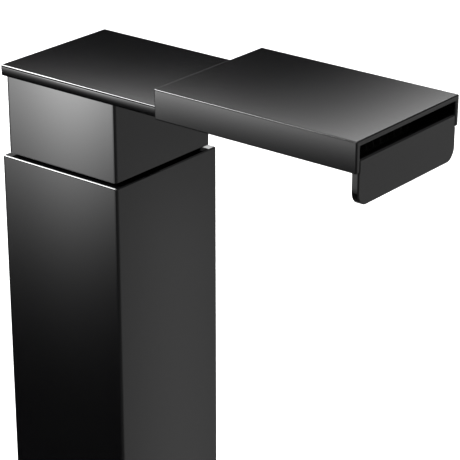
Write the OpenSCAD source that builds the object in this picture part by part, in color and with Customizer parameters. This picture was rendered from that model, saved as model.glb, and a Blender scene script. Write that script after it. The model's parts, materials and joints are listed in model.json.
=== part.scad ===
// Tall basin mixer with a swivelling sheet spout, a waterfall hood and a side lever.
// Origin: centre of the face that stands on the deck. +Z is up, the spout points to -Y
// and the lever is on +X. Millimetres.

/* [Column] */
// Width of the square column
column_w = 50; // [48:1:62]
// Height of the column above the deck
column_h = 262; // [200:1:320]
// Thickness of the column's side walls
column_wall = 3; // [2.5:0.1:3.6]
// Thickness of the column's top wall
column_top_t = 5; // [4:0.5:8]
// Radius of the upright edges of the column and the neck
edge_r = 0.7; // [0.4:0.1:2]

/* [Neck and swivel] */
// How far the neck stands in from each side of the column
neck_inset = 1.65; // [1:0.05:2.5]
// Height of the shadow gap between the column and the neck
neck_gap = 0.7; // [0.5:0.1:1.5]
// Height of the neck block
neck_h = 27.05; // [25:0.05:34]
// Outer radius of the swivel post
post_r = 11; // [10:0.1:12]
// Radius of the water bore through the post and the neck
water_r = 6; // [4:0.1:6.2]
// Height of the post above the column
post_h = 20; // [18:0.5:22]
// Swivel of the spout to each side, in degrees
swivel_deg = 60; // [20:5:75]

/* [Spout plate] */
// How far the plate overhangs each side of the neck
plate_side = 1.77; // [1.2:0.01:3]
// How far the plate overhangs the back of the neck
plate_back = 0.45; // [0:0.05:3]
// Thickness of the plate
plate_t = 3.65; // [3.4:0.05:5]
// Thickness of the plate's skin above the water duct
skin_t = 1.2; // [1:0.05:1.3]
// Width of the water duct inside the plate
duct_w = 30; // [20:1:31]
// Thickness of the sheet that closes the duct
floor_t = 1; // [0.8:0.05:1.2]
// Reach of the spout from the middle of the column
spout_reach = 117.3; // [110:0.1:150]

/* [Hood] */
// Distance from the middle of the column to the back of the hood
hood_start = 42.4; // [32:0.1:48]
// Thickness of the hood's sheet
hood_wall = 1.8; // [1.5:0.1:2.2]
// How far each side of the hood stands out from the plate
hood_side = 1.53; // [1:0.01:1.9]
// Height of the hood above the plate
hood_rise = 6.1; // [5.5:0.1:7.5]
// How far the hood's sides hang below the plate
hood_drop = 0.15; // [0:0.05:0.5]
// Height of the weir along the front of the plate
weir_h = 0.3; // [0.2:0.1:0.8]

/* [Tongue] */
// Depth of the turned-down tongue below the plate
tongue_drop = 10.75; // [6:0.05:20]
// Thickness of the tongue
tongue_t = 2.45; // [1.5:0.05:3.5]
// How far each side of the tongue stands out from the plate
tongue_side = 0.15; // [0:0.01:0.5]
// Radius of the tongue's lower corners
tongue_r = 4.4; // [1:0.1:6]

/* [Lever] */
// Height of the lever's axis above the deck
lever_z = 58; // [54:1:80]
// Length of the lever above its axis
lever_up = 56; // [40:1:90]
// Length of the lever below its axis
lever_down = 9; // [7:0.5:11]
// Width of the lever bar
lever_w = 16; // [14:0.5:20]
// Thickness of the lever bar
lever_t = 6; // [5:0.5:8]
// Radius of the ball-shaped dome under the lever
dome_r = 11; // [10.8:0.1:11.2]
// Wall of the dome
dome_wall = 1.7; // [1.2:0.1:1.8]
// Radius of the bonnet plate round the dome
bonnet_r = 19; // [18.4:0.1:22]
// Thickness of the bonnet plate
bonnet_t = 4; // [3:0.5:4.5]
// How far the lever pulls out to open, in degrees
lever_deg = 22; // [15:1:22]

/* [Mixing cartridge] */
// Radius of the cartridge
cartridge_r = 13.4; // [13.3:0.1:13.6]
// Wall of the cartridge housing
housing_wall = 2.3; // [2:0.1:2.4]
// Thickness of each ceramic disc
disc_t = 3; // [2.5:0.1:3]
// Width of the sliding disc and its carrier
slider_w = 13.8; // [13.6:0.1:14]
// Height of the sliding disc and its carrier
slider_h = 11; // [10.5:0.1:11.2]
// Distance from the lever's pivot to the ball tip of its stem
stem_arm = 12.5; // [12.3:0.1:12.6]
// Radius of the lever's pivot pin
pivot_r = 1.5; // [1.2:0.1:1.8]
// Distance from the column's face in to the lever's pivot
pivot_in = 1; // [0.5:0.1:1.5]

/* [Valve body and riser] */
// Gap between the valve body and the column's walls
valve_gap = 3; // [2:0.1:3.2]
// Radius of the hose threads in the valve body
inlet_r = 5; // [4.5:0.1:5.2]
// Depth of the hose threads
inlet_depth = 12; // [8:0.5:14]
// Distance of each hose thread from the middle, across the spout's direction
inlet_y = 6.2; // [5.6:0.1:6.4]
// Outer radius of the riser tube
riser_r = 6.5; // [6.3:0.1:7]
// Wall of the riser tube
riser_wall = 1; // [0.8:0.1:1.5]

/* [Deck fixing] */
// Thickness of the deck that the mixer is clamped to
deck_t = 30; // [5:1:36]
// Outer radius of the threaded shank
shank_r = 16.5; // [16:0.1:17]
// Wall of the threaded shank
shank_wall = 2.5; // [2:0.1:2.6]
// Length of the shank below the deck face
shank_l = 50; // [48:1:70]
// Thickness of the base plate inside the foot of the column
base_t = 8; // [7:0.5:12]
// Width of the back nut across its flats
nut_w = 42; // [40:1:46]

/* [Fits and screws] */
// Gap between parts that turn or slide on each other
running_gap = 0.05; // [0.03:0.01:0.1]
// Gap between fixed parts that slip together
slip_gap = 0.05; // [0.03:0.01:0.1]
// Radius of the small screws' threads
screw_r = 1.5; // [1.2:0.1:1.6]
// Radius of the small screws' heads
screw_head_r = 2.7; // [2.4:0.1:2.8]
// Height of the small screws' heads
screw_head_h = 1.6; // [1.2:0.1:1.8]

/* [Hidden] */
$fn = 96;
over = 1; // how far a cut runs past the face that it opens
hair = 0.001; // overlap that joins two cuts into one
socket_share = 0.55; // width of a screw's socket as a share of its head
socket_deep = 0.6; // depth of the socket as a share of the head's height
tip_room = 0.2; // room left past the tip of a screw

finish = [0.09, 0.09, 0.095];
brass = [0.78, 0.62, 0.32];
steel = [0.72, 0.73, 0.75];
rubber = [0.06, 0.06, 0.06];
plastic = [0.86, 0.87, 0.85];
ceramic = [0.95, 0.95, 0.92];
cap_grey = [0.2, 0.2, 0.21];

// swivel and spout: heights are above the top of the column
inside_w = column_w - 2 * column_wall;
neck_w = column_w - 2 * neck_inset;
neck_top = neck_gap + neck_h;
plate_w = neck_w + 2 * plate_side;
plate_rear = neck_w / 2 + plate_back;
plate_top = neck_top + plate_t;
hood_w = plate_w + 2 * hood_side;
hood_in_w = hood_w - 2 * hood_wall;
hood_top = plate_top + hood_rise;
hood_foot = neck_top - hood_drop;
hood_in_w_fit = hood_in_w - 2 * slip_gap;
hood_room = hood_rise - hood_wall;
tongue_w = plate_w + 2 * tongue_side;
tongue_foot = neck_top - tongue_drop;
seal_t = 0.4;
gasket_t = 1;
gasket_r = water_r + 2.4;
post_flange_r = post_r + 6;
post_flange_t = 4;
post_tail = 8;
post_water_r = water_r - 0.4;
post_end_gap = 0.5;
post_screw_ring = post_r + 3;
post_screw_turn = 30;
post_screw_skin = 1.2; // metal left between a post screw and the top of the column
ring_r = 1; // section radius of the rubber rings on the post
ring_heights = [5, 15.5];
ring_room = 0.2; // room above and below each ring in its groove
ring_groove_r = post_r - 2 * ring_r - 0.05;
ring_mid_r = post_r - ring_r + 0.02;
ring_section_r = ring_r - 0.03;
lock_z = 10.2;
lock_r = 2;
lock_groove = 1.1;
lock_groove_half = lock_r + 0.2;
lock_tip = post_r - lock_groove + 0.3;
lock_end = neck_w / 2 - 1;
lock_socket_r = 1.1;
lock_socket_h = 2;
stop_r = 1.5;
stop_ring_r = post_r + 5.5;
stop_h = 3;
stop_gap = 0.2;
stop_end_gap = 0.4;
stop_half_deg = asin((stop_r + stop_gap) / stop_ring_r);
slip_ring_w = 2.6;
slip_ring_r = post_r + 0.3;
head_room = 0.2; // room round the head of a neck screw
neck_screw_at = neck_w / 2 - 4.15;
neck_web = 4.5;
screw_bite = 2.6;

// water duct
duct_step = 2.2;
duct_back = water_r + 4;
duct_front = hood_start + 30;
outlet_r = 1.9;
outlet_rows = 3;
outlet_columns = 6;
outlet_pitch = 4.8;
outlet_y = hood_start + 10;
hood_screw_x = hood_in_w / 2 - 3.4;
hood_screw_y = [hood_start + 6, hood_start + 38];
boss_r = 2.8;
vane_t = 0.8;
vane_count = 14;
vane_strip = 0.5;
straightener_y = hood_start + 44;
straightener_l = 14;
room_gap = 0.05;
vane_side_gap = 0.2;

// mixing cartridge: distances along +X from the column's axis
column_face = column_w / 2;
pivot_x = column_face - pivot_in;
housing_front = pivot_x - 6;
housing_lip = 1.3;
base_x = housing_front - 22;
base_disc_t = 3;
disc_x = base_x + base_disc_t;
slider_x = disc_x + disc_t;
carrier_x = slider_x + disc_t;
tip_x = pivot_x - stem_arm;
tip_r = 2.2;
stem_neck_in = 0.8; // how much thinner the stem is than its ball tip
tip_gap = 0.25;
carrier_top = tip_x + tip_r + 0.5;
rotor_top = housing_front - housing_lip - 0.2;
housing_in_r = cartridge_r - housing_wall;
rotor_r = housing_in_r - running_gap;
rotor_neck_r = 6.8;
rotor_neck_gap = 0.3;
rotor_neck_x = pivot_x - 4;
carrier_gap = 0.3;
rotor_x = carrier_x + carrier_gap;
slider_gap = 0.1;
ear_w = 9;
ear_half = 4.2; // half of the gap between the rotor's ears
ear_up = 3.2;
swing_up = 3.6; // room for the stem above and below its ball tip
swing_down = 1;
pin_half = rotor_neck_r - 0.5;
mix_recess_r = 4.2;
stem_half = ear_half - 0.2;
slide_travel = stem_arm * sin(lever_deg);
slider_rest = -slide_travel / 2;
port_y = 4.8;
port_in_z = -4;
port_out_z = 6;
port_r = 1.9;
seal_ring_w = 1.1;
seal_ring_t = 0.9;
nut_thread_r = cartridge_r + 1.6;
nut_in_r = dome_r + 0.5;
nut_t = 4.4;
nut_slot_w = 3;
nut_slot_h = 1.6;
nut_x = housing_front;
boss_end = column_face - 0.5;
boss_out_r = nut_thread_r + 2.5;
spigot_x = nut_x + nut_t + 0.2;
bonnet_hole_r = dome_r + 0.25;
bonnet_front = column_face + bonnet_t;
post_out_r = 6;
dome_mouth = 0.8; // how far behind the middle the dome is cut off
dome_block = 5; // the solid core of the dome starts this far from its middle
handle_x = pivot_x + dome_r + 1;
stem_w = 5;
stem_end = handle_x - 2.4;
handle_screw_r = 2;
handle_head_r = 3.4;
handle_head_h = 2.4;
cap_t = 1;
cap_r = 4.6;
stem_thread = 5;

// valve body and riser
shank_in_r = shank_r - shank_wall;
shank_flange_t = 3;
shank_flange_r = shank_r + 2.4;
valve_w = inside_w - 2 * valve_gap;
valve_z = base_t + shank_flange_t + 1;
passage_x = base_x - 4;
passage_r = 2.1;
inlet_x = passage_x + 2.5;
plenum_z = lever_z + cartridge_r + 2.1;
plenum_h = 4;
plenum_r = riser_r + 4;
socket_h = 9;
valve_top = plenum_z + plenum_h + socket_h;
riser_seal_w = 2;
riser_seal_t = 2;
riser_top = column_h - column_top_t - post_flange_t - 0.5;
post_tail_r = riser_r + riser_seal_w + 1.2;
post_tail_z = column_h - column_top_t - post_flange_t - post_tail;

// foot
base_w = inside_w - 2 * slip_gap;
base_screw_at = base_w / 2 - 4.6;
base_screw_z = screw_head_h + 0.5;
valve_screw_deep = 9;
base_screw_l = valve_z - base_screw_z + valve_screw_deep - 1;
groove_in_r = shank_r + 1.2;
groove_out_r = groove_in_r + 2.2;
groove_t = 2;
back_screw_x = inside_w / 4;
back_screw_deep = 4;
back_screw_l = column_wall - screw_head_h + back_screw_deep - 1;
washer_t = 3;
washer_r = shank_r + 7.5;
clamp_t = 2;
back_nut_t = 8;

module rounded_square(w, d, r) {
    square([w - 2 * r, d], center = true);
    square([w, d - 2 * r], center = true);
    for (x = [-1, 1], y = [-1, 1]) {
        translate([x * (w / 2 - r), y * (d / 2 - r)]) circle(r);
    }
}

module ring(outer, inner, h) {
    difference() {
        cylinder(r = outer, h = h);
        translate([0, 0, -over]) cylinder(r = inner, h = h + 2 * over);
    }
}

// A box from one corner to the opposite one
module span(low, high) {
    translate(low) cube(high - low);
}

// A screw whose head rests on z = 0 and whose thread runs up
module screw(r, length, head_r, head_h) {
    difference() {
        union() {
            cylinder(r = r, h = length);
            translate([0, 0, -head_h]) cylinder(r = head_r, h = head_h);
        }
        translate([0, 0, -head_h - over])
            cylinder(r = head_r * socket_share, h = over + head_h * socket_deep, $fn = 6);
    }
}

// A screw's hole: thread up, clearance for the head below
module screw_hole(r, length, head_r, head_h) {
    cylinder(r = r, h = length);
    translate([0, 0, -head_h]) cylinder(r = head_r, h = head_h + hair);
}

module rubber_ring(major, minor) {
    rotate_extrude() translate([major, 0]) circle(minor, $fn = 32);
}

// The local z axis runs along +X from the column's axis at the lever's height; x runs down
module lever_axis(x = 0) {
    translate([x, 0, lever_z]) rotate([0, 90, 0]) children();
}

// Heights above the top of the column
module on_column() {
    translate([0, 0, column_h]) children();
}

module four(at) {
    for (x = [-1, 1], y = [-1, 1]) translate([x * at, y * at, 0]) children();
}

module post_screw_places() {
    for (a = [0 : 120 : 240]) rotate([0, 0, a + post_screw_turn])
        translate([post_screw_ring, 0, 0]) children();
}

// Column and foot

module column_shell() {
    color(finish) difference() {
        linear_extrude(column_h) rounded_square(column_w, column_w, edge_r);
        translate([0, 0, -over]) linear_extrude(column_h - column_top_t + over)
            square(inside_w, center = true);
        on_column() translate([0, 0, -column_top_t - over])
            cylinder(r = post_r + slip_gap, h = column_top_t + 2 * over);
        on_column() translate([0, stop_ring_r, -column_top_t - over])
            cylinder(r = stop_r, h = column_top_t + 2 * over);
        on_column() translate([0, 0, -column_top_t - over]) post_screw_places()
            cylinder(r = screw_r, h = over + column_top_t - post_screw_skin);
        lever_axis(inside_w / 2 - over)
            cylinder(r = boss_out_r + slip_gap, h = column_wall + 2 * over);
        for (x = [-1, 1]) translate([x * back_screw_x, inside_w / 2 - over, base_t / 2])
            rotate([-90, 0, 0]) cylinder(r = screw_r + slip_gap, h = column_wall + 2 * over);
        for (x = [-1, 1]) translate([x * back_screw_x, column_face - screw_head_h, base_t / 2])
            rotate([-90, 0, 0]) cylinder(r = screw_head_r + slip_gap, h = screw_head_h + over);
    }
}

module base_plate() {
    color(steel) difference() {
        linear_extrude(base_t) square(base_w, center = true);
        translate([0, 0, -over]) cylinder(r = shank_r + slip_gap, h = base_t + 2 * over);
        translate([0, 0, -over]) ring(groove_out_r, groove_in_r, groove_t + over);
        four(base_screw_at) translate([0, 0, base_screw_z])
            screw_hole(screw_r + slip_gap, base_t, screw_head_r + slip_gap, screw_head_h + over);
        for (x = [-1, 1]) translate([x * back_screw_x, base_w / 2 - back_screw_deep, base_t / 2])
            rotate([-90, 0, 0]) cylinder(r = screw_r, h = back_screw_deep + over);
    }
}

module base_seal() {
    color(rubber) ring(groove_out_r, groove_in_r, groove_t);
}

module base_screws() {
    color(steel) four(base_screw_at) translate([0, 0, base_screw_z])
        screw(screw_r, base_screw_l, screw_head_r, screw_head_h);
}

module back_screws() {
    color(finish) for (x = [-1, 1]) {
        translate([x * back_screw_x, column_face - screw_head_h, base_t / 2])
            rotate([90, 0, 0]) screw(screw_r, back_screw_l, screw_head_r, screw_head_h);
    }
}

module threaded_shank() {
    color(brass) difference() {
        union() {
            translate([0, 0, -shank_l]) cylinder(r = shank_r, h = shank_l + base_t);
            translate([0, 0, base_t]) cylinder(r = shank_flange_r, h = shank_flange_t);
        }
        translate([0, 0, -shank_l - over])
            cylinder(r = shank_in_r, h = shank_l + base_t + shank_flange_t + 2 * over);
    }
}

module deck_washer() {
    color(rubber) translate([0, 0, -deck_t - washer_t])
        ring(washer_r, shank_r + slip_gap, washer_t);
}

module clamp_washer() {
    color(steel) translate([0, 0, -deck_t - washer_t - clamp_t])
        ring(washer_r, shank_r + slip_gap, clamp_t);
}

module back_nut() {
    color(brass) translate([0, 0, -deck_t - washer_t - clamp_t - back_nut_t]) difference() {
        cylinder(r = nut_w / 2 / cos(30), h = back_nut_t, $fn = 6);
        translate([0, 0, -over]) cylinder(r = shank_r + slip_gap, h = back_nut_t + 2 * over);
    }
}

// Valve body, cartridge and riser

module port_places() {
    for (y = [-1, 1]) translate([-port_in_z, y * port_y, 0]) children();
    translate([-port_out_z, 0, 0]) children();
}

module valve_body() {
    color(brass) difference() {
        union() {
            translate([0, 0, valve_z]) linear_extrude(valve_top - valve_z)
                square(valve_w, center = true);
            lever_axis() cylinder(r = boss_out_r, h = boss_end);
        }
        lever_axis(base_x) cylinder(r = cartridge_r + slip_gap, h = boss_end);
        lever_axis(housing_front) cylinder(r = nut_thread_r, h = boss_end);
        for (y = [-1, 1]) {
            translate([inlet_x, y * inlet_y, valve_z - over])
                cylinder(r = inlet_r, h = inlet_depth + over);
            translate([passage_x, y * port_y, valve_z + inlet_depth - over])
                cylinder(r = passage_r, h = lever_z + port_in_z + port_r - valve_z - inlet_depth + over);
        }
        translate([passage_x, 0, lever_z + port_out_z - port_r])
            cylinder(r = passage_r, h = plenum_z + over - lever_z - port_out_z + port_r);
        lever_axis(passage_x) port_places() cylinder(r = port_r, h = base_x - passage_x + over);
        translate([0, 0, plenum_z]) cylinder(r = plenum_r, h = plenum_h);
        translate([0, 0, plenum_z])
            cylinder(r = riser_r + slip_gap, h = valve_top - plenum_z + over);
        translate([0, 0, valve_top - riser_seal_t])
            cylinder(r = riser_r + riser_seal_w, h = riser_seal_t + over);
        four(base_screw_at) translate([0, 0, valve_z - over])
            cylinder(r = screw_r, h = valve_screw_deep + over);
    }
}

module cartridge_base() {
    color(plastic) lever_axis(base_x) difference() {
        cylinder(r = cartridge_r, h = base_disc_t);
        port_places() translate([0, 0, -over]) cylinder(r = port_r, h = base_disc_t + 2 * over);
        port_places() translate([0, 0, -over])
            cylinder(r = port_r + seal_ring_w, h = seal_ring_t + over);
    }
}

module cartridge_seals() {
    color(rubber) lever_axis(base_x) port_places() ring(port_r + seal_ring_w, port_r, seal_ring_t);
}

module fixed_disc() {
    color(ceramic) lever_axis(disc_x) difference() {
        cylinder(r = housing_in_r - slip_gap, h = disc_t);
        port_places() translate([0, 0, -over]) cylinder(r = port_r, h = disc_t + 2 * over);
    }
}

module cartridge_housing() {
    color(plastic) lever_axis() difference() {
        translate([0, 0, disc_x]) cylinder(r = cartridge_r, h = housing_front - disc_x);
        translate([0, 0, disc_x - over])
            cylinder(r = housing_in_r, h = housing_front - housing_lip - disc_x + over);
        translate([0, 0, disc_x])
            cylinder(r = rotor_neck_r + rotor_neck_gap, h = housing_front - disc_x + over);
    }
}

module cartridge_nut() {
    color(brass) lever_axis(nut_x) difference() {
        ring(nut_thread_r - slip_gap, nut_in_r, nut_t);
        for (a = [0 : 90 : 270]) rotate([0, 0, a])
            translate([nut_in_r - over, -nut_slot_w / 2, nut_t - nut_slot_h])
                cube([nut_thread_r - nut_in_r + 2 * over, nut_slot_w, nut_slot_h + over]);
    }
}

module bonnet() {
    color(finish) lever_axis() difference() {
        union() {
            translate([0, 0, column_face]) cylinder(r = bonnet_r, h = bonnet_t);
            translate([0, 0, spigot_x])
                cylinder(r = nut_thread_r - slip_gap, h = column_face - spigot_x + over);
        }
        translate([0, 0, spigot_x - over])
            cylinder(r = bonnet_hole_r, h = bonnet_front - spigot_x + 2 * over);
    }
}

module riser_tube() {
    color(steel) translate([0, 0, plenum_z + plenum_h])
        ring(riser_r, riser_r - riser_wall, riser_top - plenum_z - plenum_h);
}

module riser_seals() {
    color(rubber) {
        translate([0, 0, valve_top - riser_seal_t])
            ring(riser_r + riser_seal_w, riser_r, riser_seal_t);
        translate([0, 0, post_tail_z]) ring(riser_r + riser_seal_w, riser_r, riser_seal_t);
    }
}

// Swivel

module swivel_post() {
    color(brass) difference() {
        union() {
            on_column() translate([0, 0, -column_top_t])
                cylinder(r = post_r, h = column_top_t + post_h);
            on_column() translate([0, 0, -column_top_t - post_flange_t])
                cylinder(r = post_flange_r, h = post_flange_t);
            translate([0, 0, post_tail_z]) cylinder(r = post_tail_r, h = post_tail + over);
        }
        translate([0, 0, post_tail_z - over]) cylinder(r = post_water_r, h = column_h);
        translate([0, 0, post_tail_z - over])
            cylinder(r = riser_r + slip_gap, h = riser_top - post_tail_z + over);
        translate([0, 0, post_tail_z - over])
            cylinder(r = riser_r + riser_seal_w, h = riser_seal_t + over);
        for (z = ring_heights) on_column() translate([0, 0, z - ring_r - ring_room])
            ring(post_r + over, ring_groove_r, 2 * (ring_r + ring_room));
        on_column() translate([0, 0, lock_z - lock_groove_half])
            ring(post_r + over, post_r - lock_groove, 2 * lock_groove_half);
        on_column() translate([0, 0, -column_top_t - post_flange_t - over]) post_screw_places()
            cylinder(r = screw_r + slip_gap, h = post_flange_t + 2 * over);
    }
}

module post_screws() {
    color(steel) on_column() translate([0, 0, -column_top_t - post_flange_t]) post_screw_places()
        screw(screw_r, post_flange_t + column_top_t - post_screw_skin - tip_room,
            screw_head_r, screw_head_h);
}

module swivel_rings() {
    color(rubber) on_column() for (z = ring_heights) translate([0, 0, z])
        rubber_ring(ring_mid_r, ring_section_r);
}

module slip_ring() {
    color(plastic) on_column() ring(slip_ring_r + slip_ring_w, slip_ring_r, neck_gap);
}

module stop_pin() {
    color(steel) on_column() translate([0, stop_ring_r, -column_top_t])
        cylinder(r = stop_r, h = column_top_t + stop_h);
}

// Spout

module neck_block() {
    color(finish) on_column() difference() {
        translate([0, 0, neck_gap]) linear_extrude(neck_h) rounded_square(neck_w, neck_w, edge_r);
        translate([0, 0, neck_gap - over])
            cylinder(r = post_r + running_gap, h = post_h + post_end_gap - neck_gap + over);
        cylinder(r = water_r, h = neck_top + over);
        translate([0, 0, neck_top - gasket_t]) cylinder(r = gasket_r, h = gasket_t + over);
        translate([0, post_r - over, lock_z]) rotate([-90, 0, 0]) cylinder(r = lock_r, h = neck_w);
        four(neck_screw_at) translate([0, 0, neck_top - neck_web]) {
            cylinder(r = screw_r + slip_gap, h = neck_web + over);
            translate([0, 0, neck_gap - neck_top])
                cylinder(r = screw_head_r + head_room, h = neck_top - neck_gap);
        }
        rotate([0, 0, 90 - swivel_deg - stop_half_deg])
            rotate_extrude(angle = 2 * (swivel_deg + stop_half_deg))
                translate([stop_ring_r - stop_r - stop_gap, neck_gap - over])
                    square([2 * (stop_r + stop_gap), stop_h - neck_gap + stop_end_gap + over]);
    }
}

module neck_lock_screw() {
    color(finish) on_column() translate([0, 0, lock_z]) rotate([-90, 0, 0]) difference() {
        translate([0, 0, lock_tip]) cylinder(r = lock_r, h = lock_end - lock_tip);
        translate([0, 0, lock_end - lock_socket_h])
            cylinder(r = lock_socket_r, h = lock_socket_h + over, $fn = 6);
    }
}

module inlet_gasket() {
    color(rubber) on_column() translate([0, 0, neck_top - gasket_t]) ring(gasket_r, water_r, gasket_t);
}

module outlet_places() {
    for (i = [0 : outlet_columns - 1], j = [0 : outlet_rows - 1]) {
        translate([(i - (outlet_columns - 1) / 2) * outlet_pitch, -outlet_y - j * outlet_pitch, 0])
            children();
    }
}

module hood_screw_places() {
    for (x = [-1, 1], y = hood_screw_y) translate([x * hood_screw_x, -y, 0]) children();
}

// The tongue's outline in its own plane: x across, y up, with rounded lower corners
module tongue_outline(top) {
    translate([0, tongue_foot + tongue_r]) {
        translate([-tongue_w / 2, 0]) square([tongue_w, top - tongue_foot - tongue_r]);
        translate([tongue_r - tongue_w / 2, -tongue_r]) square([tongue_w - 2 * tongue_r, 2 * tongue_r]);
        for (x = [-1, 1]) translate([x * (tongue_w / 2 - tongue_r), 0]) circle(tongue_r);
    }
}

module spout_plate() {
    color(finish) on_column() difference() {
        union() {
            span([-plate_w / 2, -hood_start, neck_top], [plate_w / 2, plate_rear, plate_top]);
            span([-hood_in_w_fit / 2, -spout_reach, neck_top],
                [hood_in_w_fit / 2, -hood_start + over, plate_top]);
            span([-hood_in_w_fit / 2, -spout_reach, neck_top],
                [hood_in_w_fit / 2, -spout_reach + tongue_t, plate_top + weir_h]);
            span([-hood_in_w_fit / 2, -spout_reach, hood_foot - slip_gap - over],
                [hood_in_w_fit / 2, -spout_reach + tongue_t, neck_top + over]);
            translate([0, -spout_reach + tongue_t, 0]) rotate([90, 0, 0])
                linear_extrude(tongue_t) tongue_outline(hood_foot - slip_gap);
        }
        span([-duct_w / 2, -duct_front, neck_top - over], [duct_w / 2, duct_back, plate_top - skin_t]);
        span([-duct_w / 2 - duct_step, -duct_front - duct_step, neck_top - over],
            [duct_w / 2 + duct_step, duct_back + duct_step, neck_top + floor_t]);
        translate([0, 0, plate_top - skin_t - over]) outlet_places()
            cylinder(r = outlet_r, h = skin_t + 2 * over);
        four(neck_screw_at) translate([0, 0, neck_top - over])
            cylinder(r = screw_r, h = screw_bite + over);
        translate([0, 0, neck_top - over]) hood_screw_places() {
            cylinder(r = screw_r + slip_gap, h = plate_t + 2 * over);
            cylinder(r = screw_head_r + slip_gap, h = screw_head_h + over);
        }
    }
}

module duct_floor() {
    color(steel) on_column() difference() {
        span([-duct_w / 2 - duct_step + slip_gap, -duct_front - duct_step + slip_gap, neck_top],
            [duct_w / 2 + duct_step - slip_gap, duct_back + duct_step - slip_gap, neck_top + floor_t]);
        translate([0, 0, neck_top - over]) cylinder(r = water_r, h = floor_t + 2 * over);
    }
}

module neck_screws() {
    color(steel) on_column() four(neck_screw_at) translate([0, 0, neck_top - neck_web])
        screw(screw_r, neck_web + screw_bite - tip_room, screw_head_r, screw_head_h);
}

module spout_hood() {
    color(finish) on_column() difference() {
        union() {
            difference() {
                span([-hood_w / 2, -spout_reach, hood_foot], [hood_w / 2, -hood_start, hood_top]);
                span([-hood_in_w / 2, -spout_reach - over, hood_foot - over],
                    [hood_in_w / 2, -hood_start - hood_wall, hood_top - hood_wall]);
                span([-hood_in_w / 2, -hood_start - hood_wall - over, hood_foot - over],
                    [hood_in_w / 2, -hood_start + over, plate_top + seal_t]);
            }
            hood_screw_places() translate([0, 0, plate_top])
                cylinder(r = boss_r, h = hood_rise - hood_wall / 2);
        }
        hood_screw_places() translate([0, 0, plate_top - over])
            cylinder(r = screw_r, h = hood_room + over);
    }
}

module hood_seal() {
    color(rubber) on_column() span([-hood_in_w / 2 + slip_gap, -hood_start - hood_wall, plate_top],
        [hood_in_w / 2 - slip_gap, -hood_start, plate_top + seal_t]);
}

module hood_screws() {
    color(steel) on_column() hood_screw_places() translate([0, 0, neck_top + screw_head_h])
        screw(screw_r, plate_t - screw_head_h + hood_room - 0.3, screw_head_r, screw_head_h);
}

module flow_straightener() {
    width = hood_in_w - 2 * vane_side_gap;
    low = plate_top + room_gap;
    high = plate_top + hood_room - room_gap;
    back = -straightener_y;
    front = back - straightener_l;
    color(plastic) on_column() {
        span([-width / 2, front, low], [width / 2, back, low + vane_strip]);
        span([-width / 2, front, high - vane_strip], [width / 2, back, high]);
        for (i = [0 : vane_count - 1]) {
            x = -width / 2 + i * (width - vane_t) / (vane_count - 1);
            span([x, front, low], [x + vane_t, back, high]);
        }
    }
}

// Lever and the parts of the cartridge that move

module mixer_rotor() {
    color(plastic) lever_axis() difference() {
        union() {
            translate([0, 0, rotor_x]) cylinder(r = rotor_r, h = rotor_top - rotor_x);
            translate([0, 0, rotor_x]) cylinder(r = rotor_neck_r, h = rotor_neck_x - rotor_x);
            intersection() {
                translate([0, 0, rotor_x]) cylinder(r = rotor_neck_r, h = pivot_x + ear_up - rotor_x);
                span([-ear_w / 2, -rotor_neck_r, rotor_x],
                    [ear_w / 2, rotor_neck_r, pivot_x + ear_up]);
            }
        }
        span([-rotor_r - over, -slider_w / 2 - slider_gap, rotor_x - over],
            [rotor_r + over, slider_w / 2 + slider_gap, carrier_top + carrier_gap]);
        span([-tip_r - swing_up, -ear_half, rotor_x],
            [tip_r + swing_down, ear_half, rotor_top + over]);
        span([-rotor_neck_r - over, -ear_half, rotor_top],
            [rotor_neck_r + over, ear_half, pivot_x + ear_up + over]);
        translate([0, rotor_neck_r + over, pivot_x]) rotate([90, 0, 0])
            cylinder(r = pivot_r, h = 2 * rotor_neck_r + 2 * over);
    }
}

module pivot_pin() {
    color(steel) lever_axis(pivot_x) translate([0, pin_half, 0]) rotate([90, 0, 0])
        cylinder(r = pivot_r, h = 2 * pin_half);
}

module slider_block(low, high) {
    span([-slider_rest - slider_h / 2, -slider_w / 2, low],
        [-slider_rest + slider_h / 2, slider_w / 2, high]);
}

module moving_disc() {
    color(ceramic) lever_axis() difference() {
        slider_block(slider_x, slider_x + disc_t);
        translate([-slider_rest, 0, slider_x - over]) cylinder(r = mix_recess_r, h = disc_t / 2 + over);
    }
}

module disc_carrier() {
    color(plastic) lever_axis() difference() {
        slider_block(carrier_x, carrier_top);
        span([-tip_r - tip_gap, -tip_r - tip_gap, tip_x - tip_r - carrier_gap],
            [tip_r + tip_gap, tip_r + tip_gap, carrier_top + over]);
    }
}

module control_stem() {
    color(steel) lever_axis(pivot_x) difference() {
        union() {
            translate([0, stem_half, 0]) rotate([90, 0, 0])
                cylinder(r = ear_up, h = 2 * stem_half);
            translate([0, 0, -stem_arm]) cylinder(r = tip_r - stem_neck_in, h = stem_arm);
            translate([0, 0, -stem_arm]) sphere(tip_r, $fn = 48);
            span([-stem_w / 2, -stem_w / 2, 0], [stem_w / 2, stem_w / 2, stem_end - pivot_x]);
        }
        translate([0, stem_half + over, 0]) rotate([90, 0, 0])
            cylinder(r = pivot_r + running_gap, h = 2 * (stem_half + over));
        translate([0, 0, stem_end - pivot_x - stem_thread])
            cylinder(r = handle_screw_r, h = stem_thread + over);
    }
}

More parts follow.
